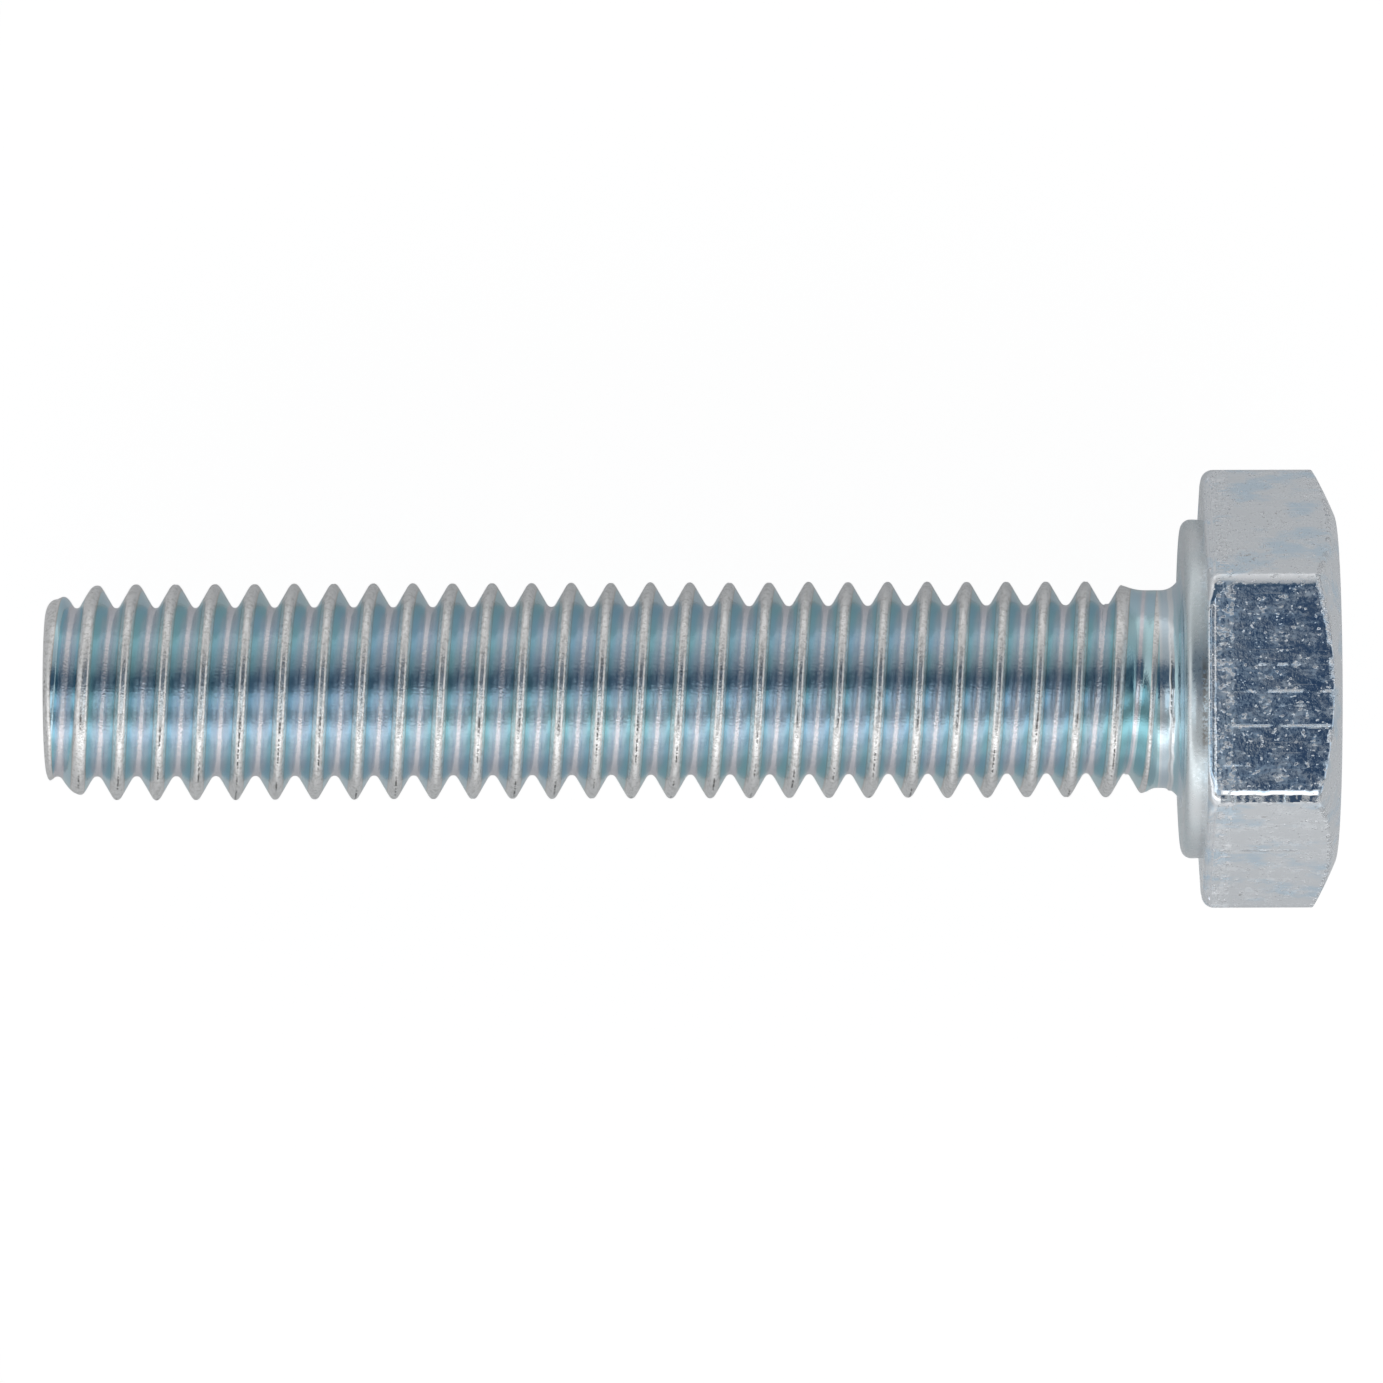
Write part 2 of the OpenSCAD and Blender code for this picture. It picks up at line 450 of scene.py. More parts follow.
def make_neck():
    """The neck with its fillet and ridge, and the core behind the washer face."""
    start = [(part * NECK_R, NECK_X) for part in (0.5, 0.9, 1)]
    fillet = arc((CORE_R, -FILLET_R), FILLET_R, 180, 90, 60)
    piece = turned_piece("neck_skin", start + fillet + [(CORE_R, WASHER_H), (CORE_R / 2, WASHER_H)])
    x, turn, r = spots(piece)
    raised = ridge_height(x, turn) * (x > NECK_X + 0.02 * MM) * (x < 0)
    for vertex, ratio in zip(piece.data.vertices, 1 + raised / np.maximum(r, NECK_R)):
        vertex.co.y *= ratio
        vertex.co.z *= ratio
    wander = ridge_place(turn)
    # Painted highlight all round the ridge, and a pale ring where the neck starts
    lit = band(x, RIDGE_X + wander, 0.03 * MM, 0.03 * MM)
    streak = band(x, NECK_X, 0.03 * MM, 0.03 * MM)
    on_ridge = ridge_height(x, turn) > 0.004 * MM
    # Painted shade along the ridge, strongest where it faces up
    seam = band(x, RIDGE_X - 0.006 * MM + wander, 0.005 * MM, 0.014 * MM) * on_ridge
    seam *= mix(0.15, 1, band(turn, 0.247, 0.035, 0.02))
    paint(piece, bare=np.maximum(lit, streak), seam=seam)
    return piece


def make_washer_face():
    """The raised bearing ring: a flat face, a rounded rim and a side that draws in a little."""
    bearing = [(r, 0) for r in np.linspace(CORE_R, WASHER_R - RIM_R, 8)[:-1]]
    rim = arc((WASHER_R - RIM_R, RIM_R), RIM_R, -90, 0, 14)
    parts = np.linspace(0, 1, 7)[1:]
    side = [(WASHER_R - RIM_DRAFT * part**2, mix(RIM_R, WASHER_H, part)) for part in parts]
    back = [(mix(CORE_R, WASHER_R, 0.5), WASHER_H), (CORE_R, WASHER_H)]
    piece = turned_piece("washer_face_skin", bearing + rim + side + back, ring=True)
    x, turn, r = spots(piece)
    # Painted shade where the washer face meets the hexagon: strongest facing up, where it stands for the
    # reflection of the dark patch overhead, and facing down
    rubbed = np.maximum(band(turn, 0.265, 0.03, 0.02), band(turn, 0.82, 0.05, 0.03))
    seam = band(x, WASHER_H - 0.04 * MM, 0.03 * MM, 0.03 * MM) * (r > CORE_R + 0.1 * MM)
    paint(piece, seam=seam * mix(0.2, 1, rubbed))
    return piece


# ---------------------------------------------------------------- head
# Points across each flat and round each corner
FLAT_STEPS = 130
CORNER_STEPS = 36
# The low step beside the under-edge: its end towards the head's top, its depth and its slope's length
STEP_X = 0.49 * MM
STEP_END_X = STEP_X + 0.03 * MM
STEP_DEPTH, STEP_SLOPE = 0.021 * MM, 0.03 * MM
STEP_WANDER = 0.006 * MM
# Long scratches: side, place across it, start, end and width, in mm
SCRATCHES = [
    (0, 0.05, 0.9, 2.5, 0.003), (0, 0.65, 0.83, 2.45, 0.008), (0, 1.32, 0.7, 1.6, 0.002),
    (0, -0.42, 1.3, 1.9, 0.003), (0, 0.28, 1.4, 2.0, 0.003),
    (2, -0.8, 0.9, 2.2, 0.008), (3, 0.4, 1.2, 2.5, 0.008), (5, -0.2, 0.7, 1.9, 0.006),
]
# How far the trimming lip stands on the corner after each side
LIPS = (0, 0, 0.6, 0, 0, 1.0)
# A trimmed corner's slope and ledge, as parts of the corner's radius, and the slope's angle
LIP_SLOPE, LIP_LEDGE = 0.868, 0.846
LIP_ANGLE = math.radians(30)
# The lip's wobbles: size as a part of the corner's radius, and how many to a millimetre
LIP_WOBBLES = ((0.030, 6), (0.022, 15))
# The chamfer's soft edge, in mm: its mean width, how much that varies, and how often round the head
CHAMFER_SOFT, CHAMFER_VARIES, CHAMFER_WAVES = 0.035, 0.015, 240
TOP_SOFT = 0.05 * MM
# Rings of points, as parts of the way: on the underside, over the dome and on the top
UNDER_RINGS = (0.3, 0.6, 0.8, 0.9, 0.97)
DOME_RINGS = (0.15, 0.3, 0.5, 0.7, 0.85)
TOP_RINGS = (0.9, 0.75, 0.6, 0.4, 0.2)

step_wander = ripple(613)
scratch_wear = ripple(211)
lip_wander = ripple(97)


def hexagon_outline():
    """Points and outward normals round a hexagon with rounded corners, as (y, z) pairs.

    The third result is each point's side and its place across that side in metres. On a corner, the
    side's number has a fraction, the part of the corner that is behind.
    """
    reach = (HALF_FLATS - CORNER_ROUNDING) / math.cos(HALF_SIDE)
    half_flat = (HALF_FLATS - CORNER_ROUNDING) * math.tan(HALF_SIDE)
    points, normals, across_flat = [], [], []
    for side in range(6):
        facing = math.radians(60 * side)
        across = np.array([-math.cos(facing), math.sin(facing)])
        out = np.array([math.sin(facing), math.cos(facing)])
        for t in np.linspace(half_flat, -half_flat, FLAT_STEPS):
            points.append(out * HALF_FLATS + across * t)
            normals.append(out)
            across_flat.append((side, t))
        corner = facing + HALF_SIDE
        centre = np.array([math.sin(corner), math.cos(corner)]) * reach
        for step in range(1, CORNER_STEPS):
            angle = facing + math.radians(60 * step / CORNER_STEPS)
            normal = np.array([math.sin(angle), math.cos(angle)])
            points.append(centre + normal * CORNER_ROUNDING)
            normals.append(normal)
            across_flat.append((side + step / CORNER_STEPS, -half_flat))
    return np.array(points), np.array(normals), np.array(across_flat)


def bend(p0, p1, p2, count):
    """Points of a short curve that rounds the corner p1 between p0 and p2."""
    t = np.linspace(0, 1, count)[:, None, None]
    return (1 - t) ** 2 * p0 + 2 * t * (1 - t) * p1 + t**2 * p2


def dome_height(r):
    """Place along X of the domed chamfer at radius r."""
    return DOME_X + np.sqrt(DOME_R**2 - r**2)


def lip_radius(angle, wobble):
    """Distance of a trimmed corner's surface from its centre, as a part of the corner's radius.

    The corner starts round, goes down a straight slope to a ledge, and ends at the next side.
    """
    slope = (LIP_SLOPE + wobble) / np.cos(angle - LIP_ANGLE)
    ledge = (LIP_LEDGE + 0.6 * wobble) / np.cos(angle)
    side = 1 / np.cos(math.radians(60) - angle)
    return np.minimum(np.maximum(np.minimum(1, slope), ledge), side)


def flat_depth(x, across_flat):
    """How far the sides lie below their planes: a low step beside the under-edge, and lips on corners."""
    side, t = across_flat.T
    on_flat = side == np.floor(side)
    wander = STEP_WANDER * step_wander(t / MM * 5 + side * 40)
    step = STEP_DEPTH * smooth((STEP_X + STEP_SLOPE / 2 + wander - x) / STEP_SLOPE) * on_flat
    corner_angle = np.radians(60 * (1 - side % 1))
    lip = np.array(LIPS)[side.astype(int)] * ~on_flat
    wobble = sum(size * lip_wander(x / MM * often) for size, often in LIP_WOBBLES)
    return step + lip * (1 - lip_radius(corner_angle, wobble)) * CORNER_ROUNDING


def make_head():
    """The hexagon: rounded under-edge, flats, domed chamfer and flat top, ring by ring."""
    outline, normals, across_flat = hexagon_outline()
    columns = len(outline)
    outer = np.linalg.norm(outline, axis=1)
    unit = outline / outer[:, None]
    wear = ripple(CHAMFER_WAVES)
    softness = (CHAMFER_SOFT + CHAMFER_VARIES * wear(np.arange(columns) / columns * CHAMFER_WAVES)) * MM

    def at(flat_points, x):
        return np.column_stack([np.broadcast_to(x, columns), flat_points])

    cornering = smooth((outer - mix(HALF_FLATS, CORNER_R, 0.55)) / (0.4 * (CORNER_R - HALF_FLATS)))
    edge_r = mix(FLAT_EDGE_R, HEAD_EDGE_R, cornering)
    underside = outline - normals * edge_r[:, None]
    rows = [at(underside * part, WASHER_H) for part in UNDER_RINGS]
    for beta in np.radians(np.linspace(0, 90, 12)):
        inset = edge_r * (1 - math.sin(beta))
        rows.append(at(outline - normals * inset[:, None], WASHER_H + edge_r * (1 - math.cos(beta))))

    # The sides, with more rings across the step
    edge_x = dome_height(outer)
    low_x = WASHER_H + edge_r
    before_step = np.maximum(low_x, STEP_X - STEP_SLOPE)
    stations = [mix(low_x, before_step, part) for part in (0.33, 0.67, 1)]
    step_x = stations[-1]
    stations += [mix(step_x, np.maximum(step_x, STEP_END_X), part) for part in np.linspace(0, 1, 9)[1:]]
    flat_x = stations[-1]
    stations += [mix(flat_x, edge_x - softness, part) for part in np.linspace(0, 1, 72)[1:-1]]
    for x in stations:
        rows.append(at(outline - normals * flat_depth(x, across_flat)[:, None], x))

    # The soft edge of the chamfer, the dome, and the edge of the top
    side_end = at(outline, edge_x - softness)
    dome_start = at(outline - unit * softness[:, None], dome_height(outer - softness))
    rows += list(bend(side_end, at(outline, edge_x), dome_start, 6))
    for part in DOME_RINGS:
        r = mix(outer - softness, HEAD_TOP_R + TOP_SOFT, part)
        rows.append(at(unit * r[:, None], dome_height(r)))
    dome_end = at(unit * (HEAD_TOP_R + TOP_SOFT), dome_height(HEAD_TOP_R + TOP_SOFT))
    top_start = at(unit * (HEAD_TOP_R - TOP_SOFT), HEAD_TOP_X)
    rows += list(bend(dome_end, at(unit * HEAD_TOP_R, HEAD_TOP_X), top_start, 5))
    rows += [at(unit * HEAD_TOP_R * part, HEAD_TOP_X) for part in TOP_RINGS]

    points = np.vstack(rows + [[[WASHER_H, 0, 0], [HEAD_TOP_X, 0, 0]]])
    faces = ring_faces(columns, len(rows))
    faces += fan_faces(0, columns, len(points) - 2)
    faces += fan_faces((len(rows) - 1) * columns, columns, len(points) - 1)
    piece = mesh_object("head_skin", points, faces, HEAD_SHARP)
    paint_head(piece)
    return piece


def scratch_lines(x, y, z):
    """How much each point is in one of the long scratches on the flats."""
    scratch = 0 * x
    for side, t, start, end, width in SCRATCHES:
        facing = math.radians(60 * side)
        out = y * math.sin(facing) + z * math.cos(facing)
        across = -y * math.cos(facing) + z * math.sin(facing)
        wobble = 0.008 * MM * scratch_wear(x / MM * 5 + 50 * t)
        wear = smooth(0.8 + scratch_wear(x / MM * 7 + 90 * t))
        line = band(across + wobble, t * MM, width * MM * wear, 0.012 * MM)
        line *= band(x, (start + end) / 2 * MM, (end - start) / 2 * MM, 0.1 * MM) * smooth(wear * 2)
        scratch = np.maximum(scratch, line * (out > HALF_FLATS - 0.02 * MM))
    return scratch


def paint_head(piece):
    """Marks the scuffed band and the white line beside the under-edge, painted as its burr's glint,
    scratches, glints painted along the chamfer's edge, a highlight painted on one corner, and the flats
    facing straight up and down, where the film's head-on blue sheen is painted."""
    x, y, z = coordinates(piece)
    round_place = (y + 3 * z) / MM
    # The white line along the step, painted as its burr's glint
    burr = band(x, STEP_X + 0.003 * MM, 0.017 * MM, 0.008 * MM)
    burr *= smooth(0.9 + scratch_wear(round_place * 13))
    below_edge = dome_height(np.minimum(np.hypot(y, z), CORNER_R)) - x
    reach = np.max([y * math.sin(a) + z * math.cos(a) for a in np.radians(60 * np.arange(6))], axis=0)
    # Glints painted along the chamfer's edge, broken in places
    chips = band(below_edge, 0.03 * MM, 0.018 * MM, 0.02 * MM)
    chips *= smooth(0.45 + 1.5 * scratch_wear(round_place * 9))
    chips *= smooth((reach - HALF_FLATS + 0.06 * MM) / (0.03 * MM))
    # A highlight painted on the upper corner beside the top flat, lighter and rougher
    worn = band(y, 1.91 * MM, 0.06 * MM, 0.06 * MM) * (z > 3.1 * MM) * band(x, 1.5 * MM, 0.6 * MM, 0.3 * MM)
    paint(
        piece,
        scuff=band(x, 0.67 * MM, 0.12 * MM, 0.07 * MM),
        scratch=np.maximum(scratch_lines(x, y, z), chips),
        worn=worn,
        burr=burr,
        # The flats facing straight up and down, where the film's blue as seen head-on is painted as a sheen
        facing=(np.abs(z) > HALF_FLATS - 0.02 * MM) & (x > WASHER_H + 0.04 * MM),
    )


# ---------------------------------------------------------------- material helpers
class Nodes:
    """Short names for adding nodes to one material or world."""

    def __init__(self, owner):
        owner.use_nodes = True
        self.owner = owner
        self.tree = owner.node_tree
        self.tree.nodes.clear()

    def add(self, kind, **settings):
        made = self.tree.nodes.new(kind)
        for key, value in settings.items():
            setattr(made, key, value)
        return made

    def join(self, source, target):
        self.tree.links.new(source, target)

    def feed(self, socket, value):
        """Joins an output to a socket, or sets a number or a colour of three parts."""
        if isinstance(value, bpy.types.NodeSocket):
            self.join(value, socket)
        else:
            socket.default_value = (*value, 1) if isinstance(value, tuple) else value

    def math(self, operation, *values):
        made = self.add("ShaderNodeMath", operation=operation)
        for socket, value in zip(made.inputs, values):
            self.feed(socket, value)
        return made.outputs[0]

    def times(self, a, b):
        return self.math("MULTIPLY", a, b)

    def most(self, a, b):
        return self.math("MAXIMUM", a, b)

    def blend(self, factor, a, b):
        """Colour a where the factor is 0, and colour b where it is 1."""
        made = self.add("ShaderNodeMix", data_type="RGBA")
        self.feed(made.inputs[0], factor)
        self.feed(made.inputs[6], a)
        self.feed(made.inputs[7], b)
        return made.outputs[2]

    def level(self, value, low, high, to_low=0.0, to_high=1.0):
        """An eased step from to_low to to_high, as the value goes from low to high."""
        made = self.add("ShaderNodeMapRange", interpolation_type="SMOOTHSTEP")
        self.feed(made.inputs[0], value)
        for socket, number in zip(made.inputs[1:5], (low, high, to_low, to_high)):
            self.feed(socket, number)
        return made.outputs[0]

    def place(self, scale=(1, 1, 1), turned=(0, 0, 0)):
        """Object coordinates in millimetres, stretched by scale."""
        where = self.add("ShaderNodeTexCoord").outputs["Object"]
        made = self.add("ShaderNodeMapping")
        self.join(where, made.inputs[0])
        made.inputs["Rotation"].default_value = turned
        made.inputs["Scale"].default_value = [part / MM for part in scale]
        return made.outputs[0]

    def noise(self, where, scale, detail=3.0, roughness=0.55):
        made = self.add("ShaderNodeTexNoise")
        self.join(where, made.inputs["Vector"])
        made.inputs["Scale"].default_value = scale
        made.inputs["Detail"].default_value = detail
        made.inputs["Roughness"].default_value = roughness
        return made.outputs[0]

    def grain(self, each_way, detail=3.0, roughness=0.55, turned=(0, 0, 0)):
        """Noise with so many grains to a millimetre along X, Y and Z."""
        return self.noise(self.place(each_way, turned), 1.0, detail, roughness)

    def attribute(self, name):
        return self.add("ShaderNodeAttribute", attribute_name=name).outputs["Fac"]

    def bump(self, height, distance):
        made = self.add("ShaderNodeBump")
        made.inputs["Strength"].default_value = 1.0
        made.inputs["Distance"].default_value = distance
        self.join(height, made.inputs["Height"])
        return made.outputs[0]

    def metal(self, colour, roughness, normal):
        shader = self.add("ShaderNodeBsdfPrincipled")
        shader.inputs["Metallic"].default_value = 1.0
        self.feed(shader.inputs["Base Color"], colour)
        self.feed(shader.inputs["Roughness"], roughness)
        self.join(normal, shader.inputs["Normal"])
        self.join(shader.outputs[0], self.add("ShaderNodeOutputMaterial").inputs[0])
        return self.owner

    def ramp(self, value, stops):
        """Brightness by value, straight between stops of (value, brightness)."""
        made = self.add("ShaderNodeValToRGB")
        self.join(value, made.inputs[0])
        elements = made.color_ramp.elements
        while len(elements) < len(stops):
            elements.new(1.0)
        for element, (at, light) in zip(elements, stops):
            element.position = at
            element.color = (light, light, light, 1)
        return made.outputs[0]

    def either(self, factor, shader_a, shader_b):
        """Shader a where the factor is 0, and shader b where it is 1."""
        made = self.add("ShaderNodeMixShader")
        self.feed(made.inputs[0], factor)
        self.join(shader_a, made.inputs[1])
        self.join(shader_b, made.inputs[2])
        return made.outputs[0]


# ---------------------------------------------------------------- materials
# Grains to a millimetre of the finest texture that colours share, and where most values of a noise lie
FINE = 16.0
WIDE = (0.3, 0.7)
MIDDLE = (0.35, 0.65)

# Thread: the blue film, what lies over the roots and beside them, with a pink sheen painted on the sides
# seen at a slant, bare metal, and the shade painted in the fold
TEAL, BLUE_TEAL = (0.49, 0.71, 0.755), (0.50, 0.68, 0.785)
ROOT_LILAC, ROOT_PALE = (0.69, 0.70, 0.76), (0.79, 0.78, 0.82)
MARGIN_BLUE, MARGIN_PINK = (0.53, 0.60, 0.71), (0.72, 0.62, 0.65)
SPECK_GREY, SILVER, RUB_BROWN = (0.66, 0.66, 0.65), (0.87, 0.87, 0.87), (0.52, 0.49, 0.45)
FOLD_BLACK = (0.10, 0.10, 0.10)
# Roughness of the thread's film (least and most), roots and bare crests
THREAD_GLOSS, ROOT_DULL, BARE_DULL = (0.09, 0.16), 0.21, 0.26
# Bump of the thread, and the part of it that the margins, bare crests and all the rest take
THREAD_BUMP, MARGIN_GRAIN, BARE_GRAIN, SIDE_GRAIN = 0.008 * MM, 1.3, 0.75, 0.38

# Neck: teal and blue film, pale paint for the ridge's highlight and the ring where the neck starts, and the
# shade painted along the ridge
NECK_TEAL, NECK_BLUE, NECK_BARE = (0.47, 0.67, 0.74), (0.62, 0.73, 0.81), (0.80, 0.84, 0.87)
NECK_FOLD = (0.10, 0.12, 0.13)
NECK_GLOSS, NECK_BUMP = (0.14, 0.24), 0.003 * MM

# Washer face: teal and grey zinc, and the shade painted beside the hexagon
WASHER_TEAL, WASHER_GREY, WASHER_DULL = (0.68, 0.76, 0.79), (0.76, 0.79, 0.81), (0.40, 0.38, 0.36)
WASHER_GLOSS, WASHER_BUMP = (0.26, 0.36), 0.002 * MM

# Head: pale zinc with bluer streaks and pin holes, a blue sheen painted on the flats facing up and down,
# bright cuts, and painted glints and highlights
HEAD_PALE, HEAD_STREAK, PIN_HOLE = (0.86, 0.89, 0.92), (0.71, 0.83, 0.93), (0.42, 0.41, 0.40)
HEAD_FILM, HEAD_BRIGHT = (0.47, 0.62, 0.79), (0.95, 0.97, 1.0)
# Roughness of the head (least and most), of its cuts, and how much smoother the white line is
HEAD_GLOSS, CUT_DULL, BURR_SHINE = (0.04, 0.52), 0.48, -0.4
HEAD_BUMP, CUT_GRAIN, HEAD_GRAIN = 0.018 * MM, 3.5, 0.12


def thread_metal():
    """Zinc with a thin blue film: teal sides, lilac roots, and crests rubbed bare."""
    n = Nodes(bpy.data.materials.new("zinc_thread"))
    place = n.place()
    tint = n.grain((0.35, 0.8, 0.8), 2.0)
    fine = n.noise(place, FINE)
    side = n.blend(n.level(tint, *MIDDLE), TEAL, BLUE_TEAL)
    root = n.blend(n.level(fine, *WIDE), ROOT_LILAC, ROOT_PALE)
    # The margins turn pink where the film's slant sheen is painted
    margin = n.blend(n.attribute("warm"), MARGIN_BLUE, MARGIN_PINK)
    colour = n.blend(n.attribute("margin"), side, margin)
    colour = n.blend(n.attribute("root"), colour, root)
    bare = n.attribute("bare")
    specks = n.level(n.noise(place, 14.0, 3.0, 0.7), 0.36, 0.54)
    silver = n.blend(specks, SPECK_GREY, SILVER)
    silver = n.blend(n.level(bare, 0.45, 0.95), RUB_BROWN, silver)
    colour = n.blend(n.level(bare, *WIDE), colour, silver)
    grit = n.noise(place, 17.0, 2.0, 0.6)
    # Painted shade in the crests' fold, broken by grit
    folded = n.times(n.attribute("seam"), n.level(grit, 0.43, 0.53))
    colour = n.blend(folded, colour, FOLD_BLACK)
    roughness = n.level(fine, *WIDE, *THREAD_GLOSS)
    dull = n.most(n.times(n.attribute("root"), ROOT_DULL), n.times(bare, BARE_DULL))
    roughness = n.most(roughness, dull)
    # Light leaves a groove after three bounces, so its sides take less of the grain than the crests
    grain = n.most(n.times(n.attribute("margin"), MARGIN_GRAIN), n.times(bare, BARE_GRAIN))
    grain = n.most(grain, SIDE_GRAIN)
    height = n.times(n.noise(place, 27.0, 2.0, 0.6), grain)
    return n.metal(colour, roughness, n.bump(height, THREAD_BUMP))


def neck_metal():
    """The film of the thread in teal and blue rings, with a highlight painted along the ridge, a pale ring
    where the neck starts, and shade painted along the ridge.
    """
    n = Nodes(bpy.data.materials.new("zinc_neck"))
    place = n.place()
    rings = n.grain((7.0, 0.3, 0.3))
    fine = n.noise(place, FINE)
    colour = n.blend(n.level(rings, 0.35, 0.6), NECK_TEAL, NECK_BLUE)
    colour = n.blend(n.attribute("bare"), colour, NECK_BARE)
    # Painted shade along the ridge
    folded = n.times(n.attribute("seam"), n.level(fine, 0.36, 0.5))
    colour = n.blend(folded, colour, NECK_FOLD)
    roughness = n.level(fine, *WIDE, *NECK_GLOSS)
    return n.metal(colour, roughness, n.bump(fine, NECK_BUMP))


def washer_metal():
    """Smooth pale zinc, with a broken line of painted shade where it meets the hexagon."""
    n = Nodes(bpy.data.materials.new("zinc_washer_face"))
    place = n.place()
    fine = n.noise(place, FINE)
    tint = n.grain((0.8, 0.6, 0.6))
    colour = n.blend(n.level(tint, *MIDDLE), WASHER_TEAL, WASHER_GREY)
    # Painted shade beside the hexagon
    dull = n.times(n.attribute("seam"), n.level(fine, 0.40, 0.52))
    colour = n.blend(dull, colour, WASHER_DULL)
    roughness = n.level(fine, *WIDE, *WASHER_GLOSS)
    return n.metal(colour, roughness, n.bump(fine, WASHER_BUMP))


def head_metal():
    """Bare zinc: pale streaks and pin holes, and on the flats fine scratches and bright specks."""
    n = Nodes(bpy.data.materials.new("zinc_head"))
    place = n.place()
    streaks = n.grain((0.9, 1.6, 1.6), 4.0, 0.6, turned=(0, 0, 0.5))
    colour = n.blend(n.level(streaks, 0.5, 0.66), HEAD_PALE, HEAD_STREAK)
    pits = n.level(n.noise(place, 5.0, 4.0, 0.7), 0.27, 0.33)
    colour = n.blend(pits, PIN_HOLE, colour)
    clouds = n.grain((2.4, 4.0, 4.0), 3.0, 0.6)
    grain = n.grain((12.0, 15.0, 15.0), 3.0, 0.65)
    rubs = n.grain((13.0, 2.2, 2.2), 2.0, 0.5)
    grit = n.grain((24.0, 30.0, 30.0), 2.0, 0.5)
    # How strong the painted head-on blue sheen is, in patches
    film = n.level(n.grain((2.6, 4.5, 4.5), 4.0, 0.7), 0.38, 0.64, 0.45, 1.0)
    # Dull clouds and grains, duller in the scuffed band
    scuff = n.attribute("scuff")
    texture = n.math("MULTIPLY_ADD", clouds, 0.48, n.times(grain, 0.52))
    texture = n.math("MULTIPLY_ADD", n.times(scuff, n.level(rubs, 0.36, 0.62)), 0.12, texture)
    sparks = n.grain((11.0, 14.0, 14.0), 1.0, 0.5)
    sparks = n.math("MULTIPLY_ADD", scuff, 0.13, n.math("MULTIPLY_ADD", clouds, 0.4, sparks))
    specks = n.level(sparks, 0.86, 0.94)
    # Fine lines along the flats, the long scratches with the glints painted along the chamfer's edge, and
    # the highlight painted on one corner
    lines = n.level(n.grain((0.9, 20.0, 20.0), 2.0, 0.5), 0.62, 0.70)
    # Long scratches, and the glints painted along the chamfer's edge
    cut = n.times(n.attribute("scratch"), n.level(grit, 0.36, 0.56, 0.35, 1.0))
    worn = n.times(n.attribute("worn"), n.level(grain, 0.35, 0.5, 0.4, 1.0))
    rough = n.most(n.most(n.times(lines, 0.5), cut), worn)
    # The film's head-on blue sheen, painted only on the flats facing up and down
    colour = n.blend(n.times(film, n.attribute("facing")), colour, HEAD_FILM)
    # The line along the step is painted white and smoother, as its burr's glint
    burr = n.attribute("burr")
    colour = n.blend(n.most(n.most(rough, specks), burr), colour, HEAD_BRIGHT)
    satin = n.level(texture, 0.40, 0.70, *HEAD_GLOSS)
    roughness = n.most(satin, n.times(rough, CUT_DULL))
    roughness = n.most(n.math("MULTIPLY_ADD", burr, BURR_SHINE, roughness), HEAD_GLOSS[0])
    cut_grit = n.times(grit, CUT_GRAIN)
    height = n.math("MULTIPLY_ADD", cut, cut_grit, n.times(n.noise(place, FINE, 2.0, 0.6), HEAD_GRAIN))
    height = n.math("ADD", height, specks)
    return n.metal(colour, roughness, n.bump(height, HEAD_BUMP))


# ---------------------------------------------------------------- floor, light and camera
FLOOR_HALF = 1.5
FLOOR_WHITE, FLOOR_GREY, FLOOR_LIT = (0.84, 0.84, 0.84), (0.80, 0.80, 0.80), (1.1, 1.1, 1.1)
# How much of the floor that the camera sees is its own glow
FLOOR_GLOW = 0.86
# The same in reflections, close to the screw and far away on the -Y side, and where that is, in mm
POOL_NEAR, POOL_FAR, POOL_ENDS = 0.10, 0.5, (6.0, 25.0)
# Brightness of the studio, by degrees from straight up towards -Y
STRIPS = [
    (-180, 0.56), (-110, 0.74), (-95, 0.78), (-82, 0.79), (-75, 0.73), (-66, 0.65), (-58, 0.57),
    (-50, 0.51), (-38, 0.46), (-28, 0.42), (0, 0.42), (4, 0.50), (24, 0.50), (29, 0.34), (38, 0.38),
    (43, 0.55), (50, 1.08), (56, 1.5), (62, 1.5), (69, 1.15), (76, 0.85), (84, 0.72), (92, 0.75),
    (120, 1.0), (180, 0.56),
]
# The same beyond the strips' ends
ENDS = [
    (-180, 0.50), (-80, 0.60), (-40, 0.70), (-20, 0.85), (20, 0.85), (45, 1.12), (100, 1.12),
    (150, 0.6), (180, 0.5),
]
# Where the strips end, in degrees along the screw from straight across it
STRIP_END = (45, 65)
# The dark patch overhead, and where each of its edges fades, in the same two angles
DARK = (0.065, 0.103, 0.148)
DARK_FROM = (-36, -23)
DARK_TO = (-3, 2)
DARK_END = (44, 62)
# Cards over the screw, out of the camera's sight: ends along X and Y, height, and brightness
DARK_CARD = ((2.4 * MM, 26 * MM), (-12 * MM, 12 * MM), 55 * MM, (0.045, 0.075, 0.125))
PALE_CARD = ((-34 * MM, -2.2 * MM), (-8.4 * MM, -0.9 * MM), 20 * MM, (0.92, 1.02, 1.08))
# How far a card's brightness varies over it
CARD_VARIES = (0.9, 1.1)
# The camera: its height, the width it sees at the screw's axis, its place, and its turn in degrees
CAMERA_Z, SEEN_WIDTH = 245 * MM, 24.48 * MM
CAMERA_X, CAMERA_Y, CAMERA_TURN = -8.656 * MM, -0.018 * MM, -0.18


def level_sheet(name, ends, sides, z):
    """A level rectangle at height z, from its ends along X and its sides along Y."""
    mesh = bpy.data.meshes.new(name)
    (x0, x1), (y0, y1) = ends, sides
    mesh.from_pydata([(x0, y0, z), (x1, y0, z), (x1, y1, z), (x0, y1, z)], [], [(0, 1, 2, 3)])
    sheet = bpy.data.objects.new(name, mesh)
    bpy.context.scene.collection.objects.link(sheet)
    return sheet


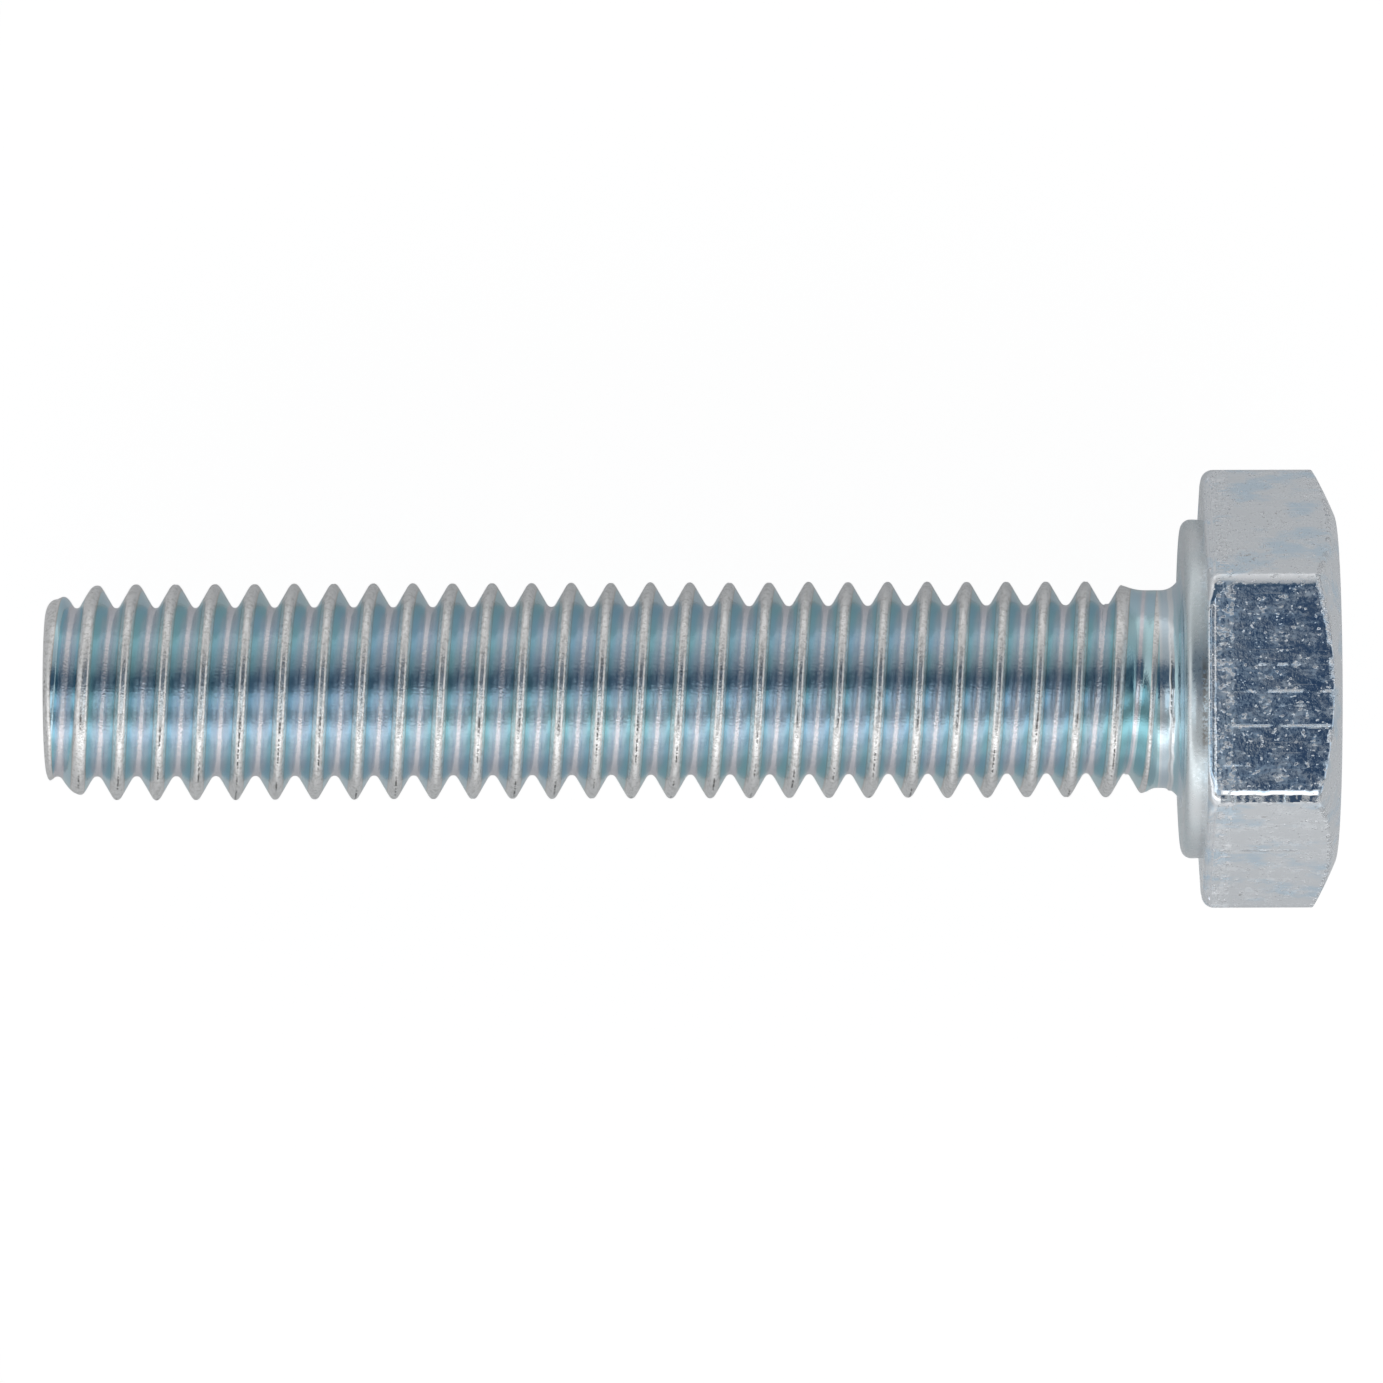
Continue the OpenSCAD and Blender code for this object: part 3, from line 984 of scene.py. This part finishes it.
def make_floor():
    """A plain pale sheet under the lower flat."""
    span = (-FLOOR_HALF, FLOOR_HALF)
    sheet = level_sheet("floor", span, span, -HALF_FLATS)
    n = Nodes(bpy.data.materials.new("floor_white"))
    paper = n.add("ShaderNodeBsdfDiffuse")
    shade = n.grain((0.02, 0.02, 0.02))
    n.join(n.blend(shade, FLOOR_GREY, FLOOR_WHITE), paper.inputs[0])
    glow = n.add("ShaderNodeEmission")
    n.feed(glow.inputs[0], FLOOR_LIT)
    seen = n.either(FLOOR_GLOW, paper.outputs[0], glow.outputs[0])
    split = n.add("ShaderNodeSeparateXYZ")
    n.join(n.place(), split.inputs[0])
    pool = n.level(n.times(split.outputs["Y"], -1), *POOL_ENDS, POOL_NEAR, POOL_FAR)
    mirrored = n.either(pool, paper.outputs[0], glow.outputs[0])
    camera = n.add("ShaderNodeLightPath").outputs["Is Camera Ray"]
    n.join(n.either(camera, mirrored, seen), n.add("ShaderNodeOutputMaterial").inputs[0])
    sheet.data.materials.append(n.owner)


def make_card(name, ends, sides, height, glow):
    """A level card over the screw, which only reflections show."""
    card = level_sheet(name, ends, sides, height)
    card.visible_camera = False
    card.visible_diffuse = False
    card.visible_shadow = False
    n = Nodes(bpy.data.materials.new(name))
    light = n.add("ShaderNodeEmission")
    weave = n.grain((0.5, 0.5, 0.5))
    least, most = (tuple(amount * part for part in glow) for amount in CARD_VARIES)
    n.join(n.blend(weave, least, most), light.inputs[0])
    n.join(light.outputs[0], n.add("ShaderNodeOutputMaterial").inputs[0])
    card.data.materials.append(n.owner)


def make_studio():
    """Soft light from all round, brighter in strips along the screw, with one dark patch overhead."""
    n = Nodes(bpy.data.worlds.new("studio"))
    split = n.add("ShaderNodeSeparateXYZ")
    n.join(n.add("ShaderNodeTexCoord").outputs["Generated"], split.inputs[0])
    angle = n.math("ARCTAN2", n.times(split.outputs["Y"], -1), split.outputs["Z"])

    def past(value, degrees, rising=True):
        low, high = (math.radians(a) for a in degrees)
        return n.level(value, low, high, *((0.0, 1.0) if rising else (1.0, 0.0)))

    def all_round(stops):
        turn = n.math("MULTIPLY_ADD", angle, 1 / TAU, 0.5)
        return n.ramp(turn, [(degrees / 360 + 0.5, light) for degrees, light in stops])

    aside = n.math("ABSOLUTE", n.math("ARCSINE", split.outputs["X"]))
    strips = all_round(STRIPS)
    ends = all_round(ENDS)
    light = n.blend(past(aside, STRIP_END), strips, ends)
    across = past(angle, DARK_FROM), past(angle, DARK_TO, False)
    along = past(aside, DARK_END, False)
    light = n.blend(n.times(n.times(*across), along), light, DARK)
    lit = n.add("ShaderNodeBackground")
    n.join(light, lit.inputs[0])
    seen = n.add("ShaderNodeBackground")
    n.feed(seen.inputs[0], (1, 1, 1))
    camera = n.add("ShaderNodeLightPath").outputs["Is Camera Ray"]
    n.join(n.either(camera, lit.outputs[0], seen.outputs[0]), n.add("ShaderNodeOutputWorld").inputs[0])
    bpy.context.scene.world = n.owner


def make_camera():
    """Straight above the screw, with its head to the right."""
    camera = bpy.data.cameras.new("camera")
    camera.sensor_width = 36
    camera.lens = camera.sensor_width * CAMERA_Z / SEEN_WIDTH
    camera.clip_start = 0.01
    camera.clip_end = 10
    view = bpy.data.objects.new("camera", camera)
    view.location = (CAMERA_X, CAMERA_Y, CAMERA_Z)
    view.rotation_euler = (0, 0, math.radians(CAMERA_TURN))
    bpy.context.scene.collection.objects.link(view)
    bpy.context.scene.camera = view
    bpy.context.scene.view_settings.view_transform = "Standard"


# ---------------------------------------------------------------- assembly
def install(piece, node, material):
    """Lets a piece stand for a CAD node, with its material and slot."""
    piece.data.materials.append(material)
    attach(piece, "root")
    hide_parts(node)


def build():
    point, shank, runout = make_thread()
    for piece in (point, shank, runout):
        paint_thread(piece)
    thread = thread_metal()
    head = head_metal()
    install(point, "thread_point", thread)
    install(shank, "threaded_shank", thread)
    install(runout, "thread_runout", thread)
    install(make_neck(), "neck", neck_metal())
    install(make_washer_face(), "washer_face", washer_metal())
    install(make_head(), "hex_head", head)


make_camera()
make_studio()
make_floor()
make_card("dark_card", *DARK_CARD)
make_card("pale_card", *PALE_CARD)
build()
